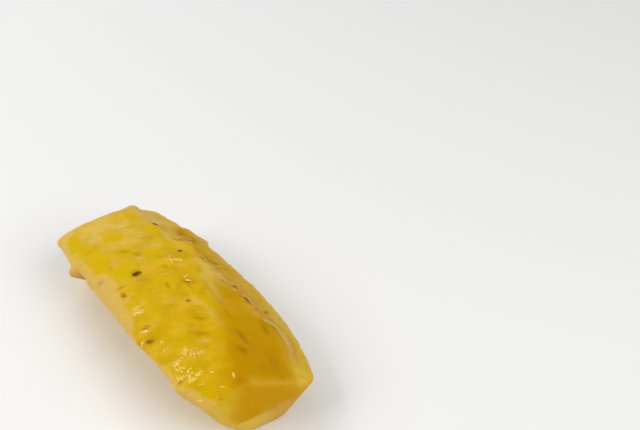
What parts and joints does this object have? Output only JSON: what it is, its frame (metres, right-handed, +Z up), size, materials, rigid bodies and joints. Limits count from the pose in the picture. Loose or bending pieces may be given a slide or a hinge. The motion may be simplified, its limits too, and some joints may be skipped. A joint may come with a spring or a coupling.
{
  "type": "smoked pineapple wedge",
  "caption": "Peeled lengthwise wedge of smoked pineapple with shallow eye pits, brown eye scraps and thin knife flaps, lying on its flat core cut.",
  "frame": {"origin": "under the middle of the piece, on the surface it lies on", "axes": "+X along the piece towards its thicker, nearer end, +Y across it towards the thinner, steeper edge, +Z up from the core cut to the peeled face"},
  "size_m": [0.109, 0.0492, 0.0281],
  "materials": {
    "flesh": "moist golden yellow fruit flesh, glossy with juice, fibrous",
    "eye_scrap": "dark brown dry scraps of the fruit's eyes"
  },
  "bodies": {
    "root": {"pineapple_wedge": "flesh"}
  },
  "joints": []
}
